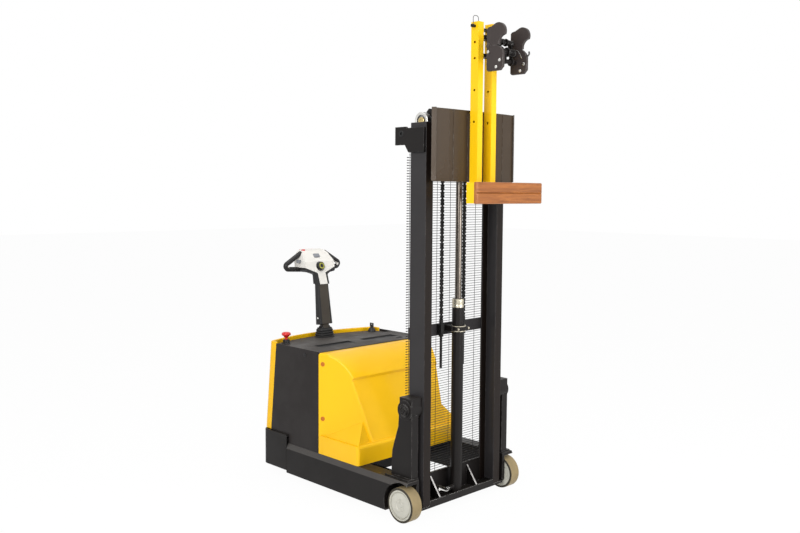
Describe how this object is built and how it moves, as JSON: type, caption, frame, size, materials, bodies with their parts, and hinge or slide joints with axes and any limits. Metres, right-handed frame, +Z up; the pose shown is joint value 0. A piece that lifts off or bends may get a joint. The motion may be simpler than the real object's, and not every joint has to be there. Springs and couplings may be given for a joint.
{
  "type": "counterbalanced drum lifter",
  "caption": "Battery counterbalanced stacker with a fixed mast, tiller steering and a lifting carriage whose twin beak heads grip a drum by its rim above a bumper bar.",
  "frame": {"origin": "on the floor, under the middle of the overall box", "axes": "+Z up, the drum gripper faces -Y and the tiller +Y, +X to the operator's left"},
  "size_m": [0.858, 1.6465, 2.5315],
  "materials": {
    "black_paint": "semi-gloss",
    "black_panel": "textured",
    "mast_grey": "semi-gloss",
    "yellow_cover": "moulded",
    "yellow_paint": "gloss",
    "deck_plastic": "textured",
    "hub_cream": "semi-gloss",
    "urethane": "moulded",
    "drive_tyre": "moulded",
    "chrome": "polished",
    "zinc": "zinc plated",
    "steel": "oiled",
    "wire": "coated",
    "bumper_wood": "varnished",
    "iron": "as cast",
    "battery_case": "moulded",
    "pump_paint": "satin",
    "red": "gloss",
    "head_white": "moulded",
    "black_plastic": "moulded",
    "rubber": "moulded"
  },
  "bodies": {
    "chassis": {"leg_left": "black_paint", "leg_right": "black_paint", "chassis_tray": "black_paint", "rear_skirt": "black_paint", "side_panels": "black_panel", "front_cover": "yellow_cover", "rear_cover": "yellow_cover", "console": "deck_plastic", "battery_lid": "deck_plastic", "counterweight": "iron", "batteries": "battery_case", "pump_unit": "pump_paint", "mast_channel_left": "mast_grey", "mast_channel_right": "mast_grey", "lifting_lugs": "black_paint", "mast_ties": "mast_grey", "mast_foot": "black_paint", "mesh_guard": "wire", "mast_towers": "black_paint", "tower_bolts": "black_paint", "cylinder_barrel": "mast_grey", "cylinder_clamp": "zinc", "hydraulic_pipe": "zinc", "chain_anchors": "zinc"},
    "ram": {"ram_rod": "chrome", "crosshead": "steel", "anchor_chains": "steel"},
    "sheaves": {"chain_sheaves": "steel"},
    "carriage": {"carriage_frame": "black_paint", "carriage_plate": "black_paint", "gripper_posts": "yellow_paint", "bumper_bracket": "yellow_paint", "bumper_bar": "bumper_wood", "head_carrier": "black_paint", "head_left": "black_paint", "head_right": "black_paint", "carriage_chains": "steel"},
    "rollers_upper": {"upper_rollers": "steel"},
    "rollers_lower": {"lower_rollers": "steel"},
    "beak_l": {"beak_left": "black_paint"},
    "beak_r": {"beak_right": "black_paint"},
    "pin": {"lock_pin": "black_paint"},
    "steering": {"drive_unit": "pump_paint", "drive_motor": "pump_paint", "steering_post": "steel", "tiller_boot": "rubber"},
    "tiller": {"tiller_column": "black_plastic", "tiller_head": "head_white", "tiller_grips": "black_plastic"},
    "throttle_shaft": {"throttle": "black_plastic"},
    "horn": {"horn_button": "black_plastic"},
    "rocker": {"lift_rocker": "black_plastic"},
    "belly": {"belly_button": "red"},
    "drive": {"drive_wheel": "drive_tyre"},
    "load_wheel_left": {"load_tyre_left": "urethane", "load_hub_left": "hub_cream"},
    "load_wheel_right": {"load_tyre_right": "urethane", "load_hub_right": "hub_cream"},
    "estop": {"estop_button": "red"},
    "ignition": {"key": "steel"}
  },
  "joints": [
    {"name": "lift_ram", "type": "slide", "parent": "chassis", "child": "ram", "axis": [0, 0, 1], "range_m": [-0.75, 0], "deforming": ["anchor_chains"]},
    {"name": "carriage_lift", "type": "slide", "parent": "ram", "child": "carriage", "axis": [0, 0, 1], "range_m": [-0.75, 0], "deforming": ["carriage_chains"]},
    {"name": "sheave_turn", "type": "hinge", "parent": "ram", "child": "sheaves", "pos_m": [0, -0.45125, 1.945], "axis": [1, 0, 0], "range_deg": [0, 1230]},
    {"name": "upper_roller_turn", "type": "hinge", "parent": "carriage", "child": "rollers_upper", "pos_m": [0, -0.45125, 2.007], "axis": [1, 0, 0], "range_deg": [-1925, 0]},
    {"name": "lower_roller_turn", "type": "hinge", "parent": "carriage", "child": "rollers_lower", "pos_m": [0, -0.45125, 1.757], "axis": [1, 0, 0], "range_deg": [0, 1925]},
    {"name": "beak_open_left", "type": "hinge", "parent": "carriage", "child": "beak_l", "pos_m": [0.088, -0.71925, 2.365], "axis": [-1, 0, 0], "range_deg": [0, 35]},
    {"name": "beak_open_right", "type": "hinge", "parent": "carriage", "child": "beak_r", "pos_m": [-0.088, -0.71925, 2.365], "axis": [-1, 0, 0], "range_deg": [0, 35]},
    {"name": "lock_pin_pull", "type": "slide", "parent": "carriage", "child": "pin", "axis": [-1, 0, 0], "range_m": [0, 0.055]},
    {"name": "steer", "type": "hinge", "parent": "chassis", "child": "steering", "pos_m": [0, 0.64275, 0], "axis": [0, 0, 1], "range_deg": [-90, 90]},
    {"name": "tiller_tilt", "type": "hinge", "parent": "steering", "child": "tiller", "pos_m": [0, 0.64275, 0.815], "axis": [-1, 0, 0], "range_deg": [0, 62], "stiffness_Nm_per_rad": 45, "springref_deg": -40.11, "deforming": ["tiller_boot"]},
    {"name": "throttle_turn", "type": "hinge", "parent": "tiller", "child": "throttle_shaft", "pos_m": [0, 0.73485, 1.22832], "axis": [1, 0, 0], "range_deg": [-25, 25], "stiffness_Nm_per_rad": 0.8},
    {"name": "horn_press", "type": "slide", "parent": "tiller", "child": "horn", "axis": [0, 0.9459, -0.3245], "range_m": [0, 0.004], "stiffness_N_per_m": 800, "springref_m": -0.003},
    {"name": "rocker_turn", "type": "hinge", "parent": "tiller", "child": "rocker", "pos_m": [0, 0.72908, 1.254], "axis": [1, 0, 0], "range_deg": [-8, 8], "stiffness_Nm_per_rad": 0.5},
    {"name": "belly_press", "type": "slide", "parent": "tiller", "child": "belly", "axis": [0, -1, 0], "range_m": [0, 0.01], "stiffness_N_per_m": 600, "springref_m": -0.02},
    {"name": "drive_spin", "type": "hinge", "parent": "steering", "child": "drive", "pos_m": [0, 0.64275, 0.1], "axis": [1, 0, 0], "continuous": true},
    {"name": "load_spin_left", "type": "hinge", "parent": "chassis", "child": "load_wheel_left", "pos_m": [0.391, -0.46025, 0.089], "axis": [1, 0, 0], "continuous": true},
    {"name": "load_spin_right", "type": "hinge", "parent": "chassis", "child": "load_wheel_right", "pos_m": [-0.391, -0.46025, 0.089], "axis": [1, 0, 0], "continuous": true},
    {"name": "estop_press", "type": "slide", "parent": "chassis", "child": "estop", "axis": [0, 0, -1], "range_m": [0, 0.008]},
    {"name": "key_turn", "type": "hinge", "parent": "chassis", "child": "ignition", "pos_m": [0.352, 0.59475, 0.776], "axis": [0, 0, 1], "range_deg": [0, 90]}
  ],
  "couplings": [
    {"joint": "carriage_lift", "follows": "lift_ram", "ratio": 1},
    {"joint": "sheave_turn", "follows": "lift_ram", "rad_per_m": -28.571},
    {"joint": "upper_roller_turn", "follows": "lift_ram", "rad_per_m": 44.743},
    {"joint": "lower_roller_turn", "follows": "lift_ram", "rad_per_m": -44.743}
  ]
}
